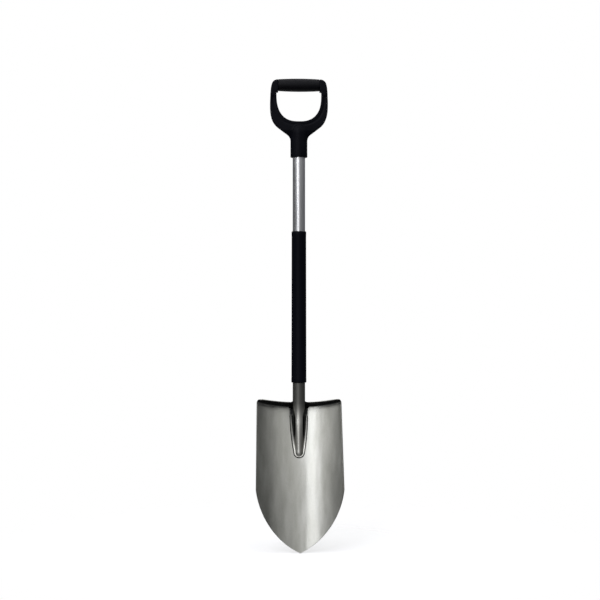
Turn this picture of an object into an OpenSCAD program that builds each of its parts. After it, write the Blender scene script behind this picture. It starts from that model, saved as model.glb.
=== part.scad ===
// Pointed digging shovel with a D handle: a pressed steel blade with folded foot treads,
// a steel neck welded to it, an aluminium shaft riveted over the neck, a black shaft sleeve
// and a moulded D handle with a soft grip cover.
//
// Frame: millimetres, +Z up along the shaft, -Y towards the hollow side of the blade.
// The origin is on the shaft's axis plane at the underside of the grip bar, where a hook
// carries the shovel.

/* [Blade] */
// Length along the blade's middle, from the tip to the top of the treads
blade_len = 334; // [278:1:401]
// Greatest width, where the point begins
blade_w = 194.4; // [160:0.1:235]
// Width at the treads
blade_top_w = 190; // [155:0.1:230]
// Height of the pointed part, from the tip to the greatest width
point_len = 132; // [105:1:165]
// Radius of the two curved edges that meet at the tip
point_r = 167; // [135:1:210]
// Radius of the hollow front, across the blade
dish_r = 137; // [120:1:170]
// Thickness of the steel sheet
sheet_t = 2; // [1.5:0.1:3]
// Angle between the blade and the shaft
lift_angle = 20; // [14:0.5:24]

/* [Treads] */
// Depth of the folded tread beside the neck
tread_mid = 26; // [20:0.5:32]
// Depth of the folded tread at the blade's corners
tread_end = 12; // [9:0.5:16]
// Inside radius of the fold
fold_r = 5; // [3:0.5:7]
// Gap between each tread and the neck, which the weld fills
tread_gap = 7; // [4:0.5:9]

/* [Neck] */
// Outside diameter of the steel neck
neck_d = 28; // [22:0.1:34]
// Wall of the steel neck
neck_wall = 1.5; // [1.2:0.1:2.2]
// Length of bare neck between the sleeve and the treads
neck_exposed = 52.5; // [40:0.5:80]
// Distance below the treads at which the neck's back meets the blade
heel_drop = 19; // [12:1:26]
// Distance below the treads at which the spoon flange begins
spoon_drop = 25; // [20:1:32]
// Length of the spoon flange along the blade
spoon_len = 96; // [80:1:116]
// Width of the spoon flange at its upper end
spoon_w = 38; // [31:0.5:50]
// Width of the spoon flange at its rounded lower end
spoon_end_w = 22; // [17:0.5:27]
// Height of the closed end of the neck above the blade
spoon_end_h = 7; // [5:0.5:9]
// Radius of the closed end of the neck
spoon_end_r = 9; // [7:0.5:11]
// Radius of the neck's forward bend, on its axis
bend_r = 180; // [140:5:240]

/* [Welds] */
// Width of the bead round the spoon flange
bead_w = 2.6; // [2:0.1:5]
// Height of the bead above the blade
bead_h = 2.2; // [1.5:0.1:3]
// Height to which the tread welds climb up the neck
climb_h = 7; // [4:0.5:10]

/* [Shaft] */
// Wall of the aluminium shaft
shaft_wall = 1.8; // [1.4:0.1:2.4]
// Length of bare shaft between the handle and the sleeve
shaft_exposed = 166; // [120:1:260]
// Length of the neck's spigot inside the shaft
spigot_len = 80; // [65:1:100]
// Height of the shaft's lower end above the sleeve's lower end
joint_height = 70; // [50:1:95]
// Gap between the spigot and the shaft's bore, on the radius
spigot_gap = 0.05; // [0.02:0.01:0.1]
// Diameter of the rivets through the joint
rivet_d = 4.8; // [4:0.1:6]
// Distance between the two rivets
rivet_pitch = 40; // [30:1:50]

/* [Sleeve] */
// Length of the shaft sleeve
sleeve_len = 340; // [270:1:410]
// Wall of the sleeve at its upper end
sleeve_wall_top = 2.2; // [1.8:0.1:3.5]
// Wall of the sleeve at its lower end
sleeve_wall_bottom = 2.7; // [1.8:0.1:4]
// Gap between the sleeve's bore and the shaft, on the radius
sleeve_gap = 0.1; // [0.05:0.01:0.3]
// Length of the slightly raised cuff at each end of the sleeve
cuff_len = 10; // [6:0.5:16]
// Height of the cuff above the sleeve
cuff_h = 0.4; // [0.2:0.1:0.8]

/* [Handle] */
// Half the overall width of the D handle
handle_half_w = 65; // [54:0.5:78]
// Half the width of the hand opening
opening_half_w = 51; // [44:0.5:55]
// Height of the hand opening under the grip bar
opening_h = 68; // [58:0.5:80]
// Distance from the hand opening to the top of the shaft socket
web_h = 20; // [15:0.5:26]
// Depth of the shaft socket
socket_depth = 60; // [48:1:72]
// Wall of the handle round the shaft socket
socket_wall = 5; // [4:0.1:6.5]
// Gap between the socket and the shaft, on the radius
socket_gap = 0.05; // [0.02:0.01:0.2]
// Thickness of the handle's arms, front to back
arm_depth = 22; // [18:0.5:26]
// Diameter of the screw that holds the shaft in the socket
screw_d = 4; // [3.5:0.1:5]
// Height of the screw above the socket's mouth
screw_height = 28; // [18:1:36]

/* [Grip] */
// Diameter of the grip cover at its middle
grip_d = 29.4; // [26:0.1:34]
// Diameter of the grip cover at its ends
grip_end_d = 26.4; // [23:0.1:29.8]
// Length of the grip cover
grip_len = 93; // [80:0.5:98]
// Diameter of the handle's core inside the grip cover
grip_core_d = 19; // [15:0.5:21]

/* [Hidden] */
$fn = 96;

// A length that cutting tools overshoot by, so that no two faces coincide
over = 1;

// Radii that several pieces share
neck_r = neck_d / 2;
shaft_r = neck_r;
bore_r = shaft_r - shaft_wall;
spigot_r = bore_r - spigot_gap;
sleeve_bore_r = shaft_r + sleeve_gap;
socket_r = shaft_r + socket_gap;
ferrule_r = socket_r + socket_wall;
grip_r = grip_d / 2;
grip_end_r = grip_end_d / 2;

// Heights along the shaft
web_z = -opening_h - web_h;
mouth_z = web_z - socket_depth;
sleeve_top_z = mouth_z - shaft_exposed;
sleeve_bottom_z = sleeve_top_z - sleeve_len;
joint_z = sleeve_bottom_z + joint_height;
tread_z = sleeve_bottom_z - neck_exposed;
screw_z = mouth_z + screw_height;
rivet_zs = [for (side = [-1, 1]) joint_z + spigot_len / 2 + side * rivet_pitch / 2];

// Where the blade's tip is: the neck's back meets the blade's front heel_drop below the treads
tip_y = neck_r - (blade_len - heel_drop) * sin(lift_angle);
tip_z = tread_z - blade_len * cos(lift_angle);

// Places on the blade, measured from its tip
spoon_top_u = blade_len - spoon_drop;
spoon_tip_u = spoon_top_u - spoon_len;
spoon_end_u = spoon_tip_u + spoon_end_w / 2;
tread_half_w = blade_top_w / 2;
slot_half_w = neck_r + tread_gap;

// Sagitta of an arc of radius r over half chord c
function sagitta(r, c) = r - sqrt(r * r - c * c);

// Radius of the arc with sagitta s over half chord c
function arc_radius(s, c) = (s * s + c * c) / (2 * s);

// The treads' front lip is an arc through its depths at the neck and at the corners
lip_sag = sagitta(dish_r, tread_half_w) + tread_end - tread_mid;
lip_r = arc_radius(lip_sag, tread_half_w);

// Centre of the right-hand curved edge of the point, through the tip and the greatest width
chord = norm([blade_w / 2, point_len]);
chord_gap = sqrt(point_r * point_r - chord * chord / 4);
point_centre = [blade_w / 4 - chord_gap * point_len / chord,
                point_len / 2 + chord_gap * blade_w / 2 / chord];

// The neck's closed end, as a point [y, z] of the side view: its depth under the blade's
// front leaves spoon_end_h above it
end_sink = spoon_end_r - spoon_end_h;
end_point = [tip_y + spoon_end_u * sin(lift_angle) + end_sink * cos(lift_angle),
             tip_z + spoon_end_u * cos(lift_angle) - end_sink * sin(lift_angle)];

// The neck bends forward from bend_z, by the angle whose tangent leads to the closed end
bend_z = tread_z - 2 * sheet_t;
to_end = end_point - [-bend_r, bend_z];
bend_angle = -acos(bend_r / norm(to_end)) - atan2(to_end[1], to_end[0]);
taper_len = sqrt(to_end * to_end - bend_r * bend_r);

// The taper's wall starts inside the wall of the bend
taper_r = neck_r - neck_wall / 2;
lap = 2 * neck_wall;

// Draws its children in the blade's own frame: +Z from the tip to the treads along the
// front of the sheet, -Y out of the hollow side
module on_blade() {
    translate([0, tip_y, tip_z])
        rotate([-lift_angle, 0, 0])
            children();
}

// Draws its children on the axis of the blade's hollow
module on_dish_axis() {
    translate([0, -dish_r, 0])
        children();
}

// Everything within radius r of the hollow's axis, along the blade and the neck
module dish_space(r) {
    on_dish_axis()
        translate([0, 0, -blade_len])
            cylinder(r = r, h = 4 * blade_len, $fn = 240);
}

// Extrudes an outline of the blade's front view [x, u] through the sheet, front to back
module through_sheet() {
    translate([0, sheet_t + over, 0])
        rotate([90, 0, 0])
            linear_extrude(dish_r * 0.8)
                children();
}

// ---- Blade ----

// Front view of the blade's straight sides, carried on past the tip and past the treads
module side_outline() {
    flare = (blade_w / 2 - tread_half_w) / (blade_len - point_len);
    foot_w = blade_w / 2 + flare * (point_len + 2 * over);
    head_w = tread_half_w - flare * over;
    polygon([
        [-head_w, blade_len + over], [-foot_w, -2 * over],
        [foot_w, -2 * over], [head_w, blade_len + over]
    ]);
}

// Front view of what the curved edge of the point takes off one side
module point_outline(side) {
    difference() {
        scale([side, 1]) translate([-over, -3 * over]) square([blade_w, point_centre[1] + 3 * over]);
        translate([side * point_centre[0], point_centre[1]]) circle(r = point_r, $fn = 240);
    }
}

// Section of the sheet, turned about the hollow's axis: the blade, the fold and the tread
module sheet_section() {
    fold_u = blade_len - sheet_t - fold_r;
    translate([dish_r, -over]) square([sheet_t, fold_u + over]);
    translate([dish_r - 2 * tread_mid, blade_len - sheet_t])
        square([2 * tread_mid - fold_r, sheet_t]);
    translate([dish_r - fold_r, fold_u]) {
        intersection() {
            difference() {
                circle(r = fold_r + sheet_t);
                circle(r = fold_r);
            }
            square(fold_r + sheet_t);
        }
    }
}

module blade() {
    color([0.56, 0.56, 0.53])
        on_blade() difference() {
            intersection() {
                on_dish_axis() rotate([0, 0, 30]) rotate_extrude(angle = 120, $fn = 240) sheet_section();
                through_sheet() side_outline();
            }
            for (side = [-1, 1]) through_sheet() point_outline(side);
            // Front lip of the treads
            translate([0, -tread_mid - lip_r, blade_len - sheet_t - fold_r])
                cylinder(r = lip_r, h = sheet_t + fold_r + over, $fn = 240);
            // Slot between the treads, for the neck
            translate([-slot_half_w, -dish_r, blade_len - sheet_t - fold_r])
                cube([2 * slot_half_w, dish_r + sheet_t + over, sheet_t + fold_r + over]);
        }
}

// ---- Neck ----

// The round tube above the bend, with the shoulder and the spigot that enter the shaft
module neck_straight() {
    spigot_top = joint_z + spigot_len;
    rotate_extrude()
        polygon([
            [neck_r - neck_wall, bend_z], [neck_r, bend_z], [neck_r, joint_z],
            [spigot_r, joint_z], [spigot_r, spigot_top], [spigot_r - neck_wall, spigot_top],
            [spigot_r - neck_wall, joint_z - neck_wall], [neck_r - neck_wall, joint_z - neck_wall]
        ]);
}

// Sweeps a section of the neck forward round the bend
module neck_bend() {
    translate([0, -bend_r, bend_z])
        rotate([0, -90, 0])
            rotate([0, 0, 90])
                rotate_extrude(angle = bend_angle, $fn = 240)
                    translate([bend_r, 0])
                        children();
}

// The drawn-down end of the neck, of the given outside and end radii, as a solid with a
// round end
module neck_taper(end_r, top_r, top_len) {
    translate([0, end_point[0], end_point[1]])
        rotate([-bend_angle, 0, 0])
            rotate_extrude() {
                polygon([[0, 0], [end_r, 0], [top_r, top_len], [0, top_len]]);
                intersection() {
                    circle(r = end_r);
                    translate([0, -end_r]) square(end_r);
                }
            }
}

// Front view of the spoon flange, grown by edge and carried on above by rise: straight
// tapering sides and a round end
module spoon_outline(edge, rise) {
    end_r = spoon_end_w / 2 + edge;
    half_w = spoon_w / 2 + edge;
    // Where a straight side leaves the round end
    lean = asin((half_w - end_r) / norm([half_w - end_r, spoon_top_u - spoon_end_u]));
    // The sides keep their slope where the outline is carried on above the flange
    slope = (half_w - end_r * cos(lean)) / (spoon_top_u - spoon_end_u + end_r * sin(lean));
    head_w = half_w + rise * slope;
    polygon(concat(
        [[head_w, spoon_top_u + rise], [-head_w, spoon_top_u + rise]],
        [for (i = [0:16]) let (a = 180 + lean + (180 - 2 * lean) * i / 16)
            [end_r * cos(a), spoon_end_u + end_r * sin(a)]]
    ));
}

module neck_tube() {
    color([0.46, 0.46, 0.43])
        difference() {
            union() {
                neck_straight();
                intersection() {
                    neck_bend() difference() {
                        circle(r = neck_r);
                        circle(r = neck_r - neck_wall);
                    }
                    on_blade() dish_space(dish_r);
                }
                // The drawn-down end and the flange are hollowed together
                difference() {
                    union() {
                        intersection() {
                            neck_taper(spoon_end_r, taper_r, taper_len + lap);
                            on_blade() dish_space(dish_r);
                        }
                        on_blade() difference() {
                            intersection() {
                                through_sheet() spoon_outline(0, 0);
                                dish_space(dish_r);
                            }
                            dish_space(dish_r - neck_wall);
                        }
                    }
                    neck_taper(spoon_end_r - neck_wall, taper_r - neck_wall, taper_len + 2 * lap);
                }
            }
            for (z = rivet_zs) rivet(z);
        }
}

// ---- Welds ----

module spoon_weld() {
    color([0.32, 0.32, 0.31])
        difference() {
            on_blade() difference() {
                intersection() {
                    through_sheet() spoon_outline(bead_w, 0);
                    dish_space(dish_r);
                }
                through_sheet() spoon_outline(0, over);
                dish_space(dish_r - bead_h);
            }
            neck_taper(spoon_end_r, taper_r, taper_len + lap);
        }
}

// One weld between a tread and the neck: it fills the gap and climbs up the neck
module tread_weld(side) {
    // Front and back of the weld, on the blade's hollow side
    weld_front = tread_mid - sheet_t;
    weld_back = sagitta(dish_r, slot_half_w);
    color([0.32, 0.32, 0.31])
        difference() {
            on_blade()
                translate([0, -weld_back, 0])
                    rotate([90, 0, 0])
                        linear_extrude(weld_front - weld_back)
                            polygon([
                                [side * over, blade_len - sheet_t],
                                [side * slot_half_w, blade_len - sheet_t],
                                [side * slot_half_w, blade_len],
                                [side * neck_r, blade_len + climb_h],
                                [side * over, blade_len + climb_h]
                            ]);
            translate([0, 0, bend_z]) cylinder(r = neck_r, h = joint_z - bend_z);
            // Only the part beside the neck
            translate([-neck_d / 2, -2 * neck_d, bend_z]) cube([neck_d, 2 * neck_d, neck_d * 2]);
        }
}

module tread_weld_left() {
    tread_weld(-1);
}

module tread_weld_right() {
    tread_weld(1);
}

// ---- Shaft ----

// A flush rivet across the joint, front to back: a shank with two countersunk heads
module rivet(z) {
    head_h = shaft_wall * 0.75;
    intersection() {
        translate([0, 0, z]) rotate([90, 0, 0]) {
            cylinder(r = rivet_d / 2, h = 2 * neck_r, center = true);
            for (side = [-1, 1])
                translate([0, 0, side * (neck_r - head_h)])
                    rotate([90 - side * 90, 0, 0])
                        cylinder(r1 = rivet_d / 2, r2 = rivet_d / 2 + head_h, h = head_h);
        }
        translate([0, 0, z - rivet_d * 2]) cylinder(r = shaft_r, h = rivet_d * 4);
    }
}

module joint_rivets() {
    color([0.7, 0.7, 0.7])
        for (z = rivet_zs) rivet(z);
}

module shaft_tube() {
    color([0.78, 0.78, 0.77])
        difference() {
            translate([0, 0, joint_z]) cylinder(r = shaft_r, h = web_z - joint_z);
            translate([0, 0, joint_z - over]) cylinder(r = bore_r, h = web_z - joint_z + 2 * over);
            for (z = rivet_zs) rivet(z);
            screw_shank(0);
        }
}

// ---- Sleeve ----

module shaft_sleeve() {
    top_r = sleeve_bore_r + sleeve_wall_top;
    bottom_r = sleeve_bore_r + sleeve_wall_bottom;
    round_r = sleeve_wall_top * 0.8;
    color([0.05, 0.05, 0.06])
        translate([0, 0, sleeve_bottom_z])
            difference() {
                union() {
                    translate([0, 0, round_r])
                        cylinder(r1 = bottom_r, r2 = top_r, h = sleeve_len - 2 * round_r);
                    // Each cuff ends in a rounded lip
                    sleeve_cuff(bottom_r, round_r);
                    translate([0, 0, sleeve_len]) mirror([0, 0, 1]) sleeve_cuff(top_r, round_r);
                }
                translate([0, 0, -over]) cylinder(r = sleeve_bore_r, h = sleeve_len + 2 * over);
            }
}

// A raised cuff of radius r plus cuff_h, from z = 0 up, whose outer lip is rounded
module sleeve_cuff(r, round_r) {
    rotate_extrude() {
        square([r + cuff_h - round_r, cuff_len]);
        translate([0, round_r]) square([r + cuff_h, cuff_len - round_r]);
        translate([r + cuff_h - round_r, round_r]) circle(r = round_r);
    }
}

// ---- Handle ----

// Points of a superellipse about [0, z0], from angle a0 to a1 in steps
function rounded(half_w, half_h, z0, power, a0, a1, steps) = [
    for (i = [0:steps])
        let (a = a0 + (a1 - a0) * i / steps)
            [half_w * sign(cos(a)) * pow(abs(cos(a)), 2 / power),
             z0 + half_h * sign(sin(a)) * pow(abs(sin(a)), 2 / power)]
];

// Powers of the superelliptic curves of the D's crown, its base and the hand opening
crown_power = 9;
base_power = 3;
opening_power = 2.6;

// How far under the socket's top the base of the D would end if nothing met it
base_drop = 2;

// Share of its width that the D loses towards its top, and how far the top lies under the
// top of the grip cover
crown_taper = 0.075;
crown_drop = 2;

// Height of the handle's widest point, and how far the D reaches above and below it
waist_z = -0.37 * opening_h;
crown_h = grip_d - crown_drop - waist_z;
base_h = opening_h + web_h + waist_z + base_drop;

// The base of the D runs straight on from flank_x to the socket, at the slope that it has
// there, and a fillet of radius flank_r turns it down along the socket
flank_x = 0.74 * handle_half_w;
flank_r = 0.3 * socket_depth;
flank_turn = acos(pow(flank_x / handle_half_w, base_power / 2));
flank_slope = base_h / handle_half_w * pow(flank_x / handle_half_w, base_power - 1)
    * pow(1 - pow(flank_x / handle_half_w, base_power), 1 / base_power - 1);
flank_top_z = waist_z - base_h * pow(1 - pow(flank_x / handle_half_w, base_power), 1 / base_power);
flank_lean = atan(flank_slope);
flank_foot_z = flank_top_z - flank_slope * (flank_x - ferrule_r) - flank_r * tan(45 - flank_lean / 2);

// The cone that closes the top of the socket
cone_end_r = 0.4 * arm_depth;
cone_end_z = web_z + 0.7 * web_h;

// Front view of the D: a squared top, full sides and a base that runs into the socket
module handle_outline() {
    fillet = [for (i = [0:12]) let (a = (90 - flank_lean) * i / 12)
        [ferrule_r + flank_r * (1 - cos(a)), flank_foot_z + flank_r * sin(a)]];
    crown = [for (p = rounded(handle_half_w, crown_h, waist_z, crown_power, 0, 180, 72))
        let (up = (p[1] - waist_z) / crown_h) [p[0] * (1 - crown_taper * up * up), p[1]]];
    polygon(concat(
        crown,
        rounded(handle_half_w, base_h, waist_z, base_power, 180 + 180 / 60, 180 + flank_turn, 24),
        [for (i = [12:-1:0]) [-fillet[i][0], fillet[i][1]]],
        fillet,
        rounded(handle_half_w, base_h, waist_z, base_power, 360 - flank_turn, 360 - 180 / 60, 24)
    ));
}

// Side view of the D: full at the grip bar, slim in the arms and the web, and thinned out
// where the web runs down the socket
module handle_side_outline() {
    heights = [grip_d, 0, waist_z, web_z, flank_foot_z];
    depths = [grip_end_r, grip_end_r, arm_depth / 2, arm_depth / 2, sheet_t];
    last = len(heights) - 1;
    polygon(concat(
        [for (i = [0:last]) [depths[i], heights[i]]],
        [for (i = [last:-1:0]) [-depths[i], heights[i]]]
    ));
}

module opening_outline() {
    corner = 4;
    polygon(concat(
        [[-opening_half_w + corner / 4, 0], [opening_half_w - corner / 4, 0]],
        rounded(opening_half_w, opening_h - corner, -corner, opening_power, 0, -180, 60)
    ));
}

// Extrudes a front view [x, z] by depth, centred on the shaft's axis plane
module front_to_back(depth) {
    rotate([90, 0, 0])
        linear_extrude(depth, center = true)
            children();
}

module handle_frame() {
    color([0.06, 0.06, 0.07])
        difference() {
            union() {
                intersection() {
                    front_to_back(4 * ferrule_r) difference() {
                        handle_outline();
                        opening_outline();
                        translate([-grip_len / 2, -over]) square([grip_len, 2 * grip_d]);
                    }
                    rotate([90, 0, 90])
                        linear_extrude(4 * handle_half_w, center = true)
                            handle_side_outline();
                }
                // The socket ends in a cone inside the web
                rotate_extrude()
                    polygon([
                        [0, mouth_z], [ferrule_r, mouth_z], [ferrule_r, web_z],
                        [cone_end_r, cone_end_z], [0, cone_end_z]
                    ]);
                translate([0, 0, grip_r])
                    rotate([0, 90, 0])
                        cylinder(r = grip_core_d / 2, h = grip_len + 2 * over, center = true);
            }
            translate([0, 0, mouth_z - over]) cylinder(r = socket_r, h = socket_depth + over);
            screw_shank(0);
            screw_head(0);
        }
}

module grip_cover() {
    barrel_r = arc_radius(grip_r - grip_end_r, grip_len / 2);
    steps = 24;
    color([0.04, 0.04, 0.05])
        translate([0, 0, grip_r])
            rotate([0, 90, 0])
                rotate_extrude()
                    polygon(concat(
                        [[grip_core_d / 2, -grip_len / 2]],
                        [for (i = [0:steps]) let (along = grip_len * (i / steps - 0.5))
                            [grip_r - sagitta(barrel_r, along), along]],
                        [[grip_core_d / 2, grip_len / 2]]
                    ));
}

// Shank of the handle screw, from the back of the socket wall into the shaft's bore
module screw_shank(gap) {
    translate([0, ferrule_r - over, screw_z])
        rotate([90, 0, 0])
            cylinder(r = screw_d / 2 + gap, h = ferrule_r - bore_r + 2 * over);
}

// Countersunk head of the handle screw, just under the back of the socket wall
module screw_head(gap) {
    head_r = screw_d;
    translate([0, ferrule_r + over, screw_z])
        rotate([90, 0, 0]) {
            cylinder(r = head_r + gap, h = 2 * over);
            translate([0, 0, 2 * over])
                cylinder(r1 = head_r + gap, r2 = screw_d / 2 + gap, h = head_r - screw_d / 2);
        }
}

module handle_screw() {
    color([0.6, 0.6, 0.6])
        difference() {
            union() {
                screw_shank(0);
                intersection() {
                    screw_head(0);
                    translate([0, 0, screw_z])
                        cylinder(r = ferrule_r - over / 2, h = 4 * screw_d, center = true);
                }
            }
            // Cross recess
            for (turn = [0, 90])
                translate([0, ferrule_r, screw_z])
                    rotate([0, turn, 0])
                        cube([screw_d, screw_d, screw_d / 5], center = true);
        }
}

blade();
neck_tube();
spoon_weld();
tread_weld_left();
tread_weld_right();
shaft_tube();
joint_rivets();
shaft_sleeve();
handle_frame();
grip_cover();
handle_screw();
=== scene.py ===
"""Looks of the detecting shovel: every shown piece is built or dressed here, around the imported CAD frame."""

import logging
import math
from collections.abc import Callable, Sequence
from dataclasses import dataclass, field
from enum import Enum

import bpy
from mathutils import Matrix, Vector

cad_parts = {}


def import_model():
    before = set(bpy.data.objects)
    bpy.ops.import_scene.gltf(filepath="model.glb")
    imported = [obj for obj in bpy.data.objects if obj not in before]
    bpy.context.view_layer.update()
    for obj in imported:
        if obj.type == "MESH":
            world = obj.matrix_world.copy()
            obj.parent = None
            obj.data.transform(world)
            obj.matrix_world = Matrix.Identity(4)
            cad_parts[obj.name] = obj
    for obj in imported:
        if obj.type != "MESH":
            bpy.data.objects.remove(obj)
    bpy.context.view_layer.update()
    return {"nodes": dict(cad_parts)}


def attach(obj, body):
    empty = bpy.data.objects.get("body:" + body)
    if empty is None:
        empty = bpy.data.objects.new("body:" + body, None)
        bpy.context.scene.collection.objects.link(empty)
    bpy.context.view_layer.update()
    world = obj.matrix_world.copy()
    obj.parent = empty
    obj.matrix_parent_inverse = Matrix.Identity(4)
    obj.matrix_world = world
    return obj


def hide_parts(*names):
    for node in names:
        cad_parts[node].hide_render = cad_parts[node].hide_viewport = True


LOG = logging.getLogger("shovel")
MM = 0.001
BODY = "root"
# Sockets that share their names on the Mix node: the colours A and B, and the mixed colour
MIX_A, MIX_B, MIX_RESULT = 6, 7, 2
# The fine grain's share in the blend of patterns, and the range that the blend covers
GRAIN_SHARE = 0.45
BLEND_LOW, BLEND_HIGH = 0.45, 1.0
GRAIN_DEPTH_MM = 0.15
# How much the wide pattern frays the edge of the painted shade and darkening, the range that it then
# covers, and how far it dulls the shine
FRAY = 0.3
DARKENING_LOW, DARKENING_HIGH = 0.25, 1.05
DARKENING_DULLING = 0.22
Place = Callable[[float, float], Vector]
Links = dict[str | int, bpy.types.NodeSocket]


# ---------------------------------------------------------------- colour and nodes


def linear(hex_code: str) -> tuple[float, float, float, float]:
    """Turn an sRGB hex colour into the linear colour that shaders take.

    Args:
        hex_code: Six hex digits, with or without a leading hash.

    Returns:
        Linear red, green and blue, and an alpha of one.
    """
    digits = hex_code.lstrip("#")
    parts = [int(digits[i : i + 2], 16) / 255 for i in (0, 2, 4)]
    red, green, blue = (c / 12.92 if c <= 0.04045 else ((c + 0.055) / 1.055) ** 2.4 for c in parts)
    return red, green, blue, 1.0


def add_node(
    tree: bpy.types.NodeTree,
    kind: str,
    settings: dict[str | int, object] | None = None,
    links: Links | None = None,
) -> bpy.types.Node:
    """Add one node with its settings and incoming links.

    Args:
        tree: The node tree that takes the node.
        kind: The node's type identifier.
        settings: Socket values by input name, or attributes of the node.
        links: Output sockets by the name of the input that each feeds.

    Returns:
        The new node.
    """
    node = tree.nodes.new(kind)
    for name, value in (settings or {}).items():
        if isinstance(name, int) or name in node.inputs:
            node.inputs[name].default_value = value
        else:
            setattr(node, name, value)
    for name, socket in (links or {}).items():
        tree.links.new(socket, node.inputs[name])
    return node


class Grain(Enum):
    """The direction in which a surface's fine marks run."""

    EVEN = (1.0, 1.0, 1.0)
    LENGTHWISE = (1.0, 0.5, 0.12)
    ALONG_SHAFT = (1.0, 1.0, 0.02)


@dataclass(frozen=True)
class Finish:
    """A finish: one shader whose colour, roughness and relief vary by fine procedural patterns.

    Sizes are the real ones in millimetres, and each pattern is drawn at that size. Where a mesh
    carries the attribute "scale", the finish darkens towards its dark colour: painted shade under the
    treads, beside the neck and in the neck's crease, and a darker tone on the neck above the treads.
    """

    name: str
    low: str
    high: str
    metallic: float
    rough: tuple[float, float]
    patch_mm: float
    grain_mm: float
    relief: float
    grain: Grain = Grain.EVEN
    wave_mm: float = 40.0
    wave_relief: float = 0.0
    specular: float = 0.5
    # The colour that painted shade, and on the neck a darker tone, darkens the finish towards
    shade_and_darkening_colour: str = ""

    def noise(
        self, tree: bpy.types.NodeTree, size_mm: float, detail: float, place: bpy.types.NodeSocket
    ) -> bpy.types.NodeSocket:
        """Add a noise pattern of a real size.

        Args:
            tree: The node tree that takes the pattern.
            size_mm: The pattern's size in millimetres.
            detail: How many finer layers it holds.
            place: The coordinates that it follows.

        Returns:
            The pattern's value socket.
        """
        settings = {"Scale": 1 / (size_mm * MM), "Detail": detail, "Roughness": 0.55}
        return add_node(tree, "ShaderNodeTexNoise", settings, {"Vector": place}).outputs["Fac"]

    def material(self) -> bpy.types.Material:
        """Build the material.

        Returns:
            A material that reads Object coordinates and the mesh's own attribute only.
        """
        made = bpy.data.materials.get(self.name)
        if made:
            return made
        made = bpy.data.materials.new(self.name)
        made.use_nodes = True
        tree = made.node_tree
        tree.nodes.clear()
        place = add_node(tree, "ShaderNodeTexCoord").outputs["Object"]
        stretch = {"Scale": self.grain.value}
        along = add_node(tree, "ShaderNodeMapping", stretch, {"Vector": place}).outputs["Vector"]
        # Wide soft patches: the slight unevenness of a real skin
        patch = self.noise(tree, self.patch_mm, 3.0, along)
        # Fine grain: what the hand feels and what breaks up the shine
        grain = self.noise(tree, self.grain_mm, 2.0, along)
        both = add_node(
            tree, "ShaderNodeMath", {"operation": "MULTIPLY_ADD", 1: GRAIN_SHARE}, {0: grain, 2: patch}
        ).outputs[0]
        ramp = add_node(tree, "ShaderNodeValToRGB", {}, {"Fac": both})
        stops = ((BLEND_LOW, self.low), (BLEND_HIGH, self.high))
        for element, (position, hex_code) in zip(ramp.color_ramp.elements, stops, strict=True):
            element.position = position
            element.color = linear(hex_code)
        colour = ramp.outputs["Color"]
        smoothest, roughest = self.rough
        ends = {"From Min": BLEND_LOW, "From Max": BLEND_HIGH, "To Min": smoothest, "To Max": roughest}
        rough = add_node(tree, "ShaderNodeMapRange", ends, {"Value": both}).outputs["Result"]
        # The attribute "scale" paints shade, and on the neck a darker tone, into the finish
        if self.shade_and_darkening_colour:
            colour, rough = self.add_shade_and_darkening(tree, colour, rough, patch)
        fine = {"Strength": self.relief, "Distance": GRAIN_DEPTH_MM * MM}
        normal = add_node(tree, "ShaderNodeBump", fine, {"Height": grain}).outputs["Normal"]
        if self.wave_relief:
            # Long shallow waves left by pressing and grinding, which draw streaks in the shine
            wave = self.noise(tree, self.wave_mm, 1.0, along)
            broad = {"Strength": 1.0, "Distance": self.wave_relief * MM}
            onto = {"Height": wave, "Normal": normal}
            normal = add_node(tree, "ShaderNodeBump", broad, onto).outputs["Normal"]
        shader = add_node(
            tree,
            "ShaderNodeBsdfPrincipled",
            {"Metallic": self.metallic, "Specular IOR Level": self.specular},
            {"Base Color": colour, "Roughness": rough, "Normal": normal},
        )
        add_node(tree, "ShaderNodeOutputMaterial", {}, {"Surface": shader.outputs["BSDF"]})
        return made

    def add_shade_and_darkening(
        self,
        tree: bpy.types.NodeTree,
        colour: bpy.types.NodeSocket,
        rough: bpy.types.NodeSocket,
        patch: bpy.types.NodeSocket,
    ) -> tuple[bpy.types.NodeSocket, bpy.types.NodeSocket]:
        """Darken and dull the finish where the mesh's attribute "scale" asks for it: painted shade, and on the
        neck a darker tone.

        Args:
            tree: The node tree.
            colour: The clean colour.
            rough: The clean roughness.
            patch: The wide pattern, which frays the darkening's edge.

        Returns:
            The darkened colour and roughness.
        """
        # Each vertex's share of painted shade, and on the neck of a darker tone
        left = add_node(tree, "ShaderNodeAttribute", {"attribute_name": "scale"}).outputs["Fac"]
        frayed = add_node(
            tree, "ShaderNodeMath", {"operation": "MULTIPLY_ADD", 1: FRAY}, {0: patch, 2: left}
        ).outputs[0]
        ends = {"From Min": DARKENING_LOW, "From Max": DARKENING_HIGH}
        share = add_node(tree, "ShaderNodeMapRange", ends, {"Value": frayed}).outputs["Result"]
        mix = add_node(
            tree,
            "ShaderNodeMix",
            {"data_type": "RGBA", MIX_B: linear(self.shade_and_darkening_colour)},
            {"Factor": share, MIX_A: colour},
        )
        ends = {"To Min": 0.0, "To Max": DARKENING_DULLING}
        dull = add_node(tree, "ShaderNodeMapRange", ends, {"Value": share}).outputs["Result"]
        summed = add_node(tree, "ShaderNodeMath", {"operation": "ADD"}, {0: rough, 1: dull}).outputs[0]
        return mix.outputs[MIX_RESULT], summed

    def dress(self, piece: bpy.types.Object) -> None:
        """Put this finish, and no other, on the piece."""
        piece.data.materials.clear()
        piece.data.materials.append(self.material())


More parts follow.
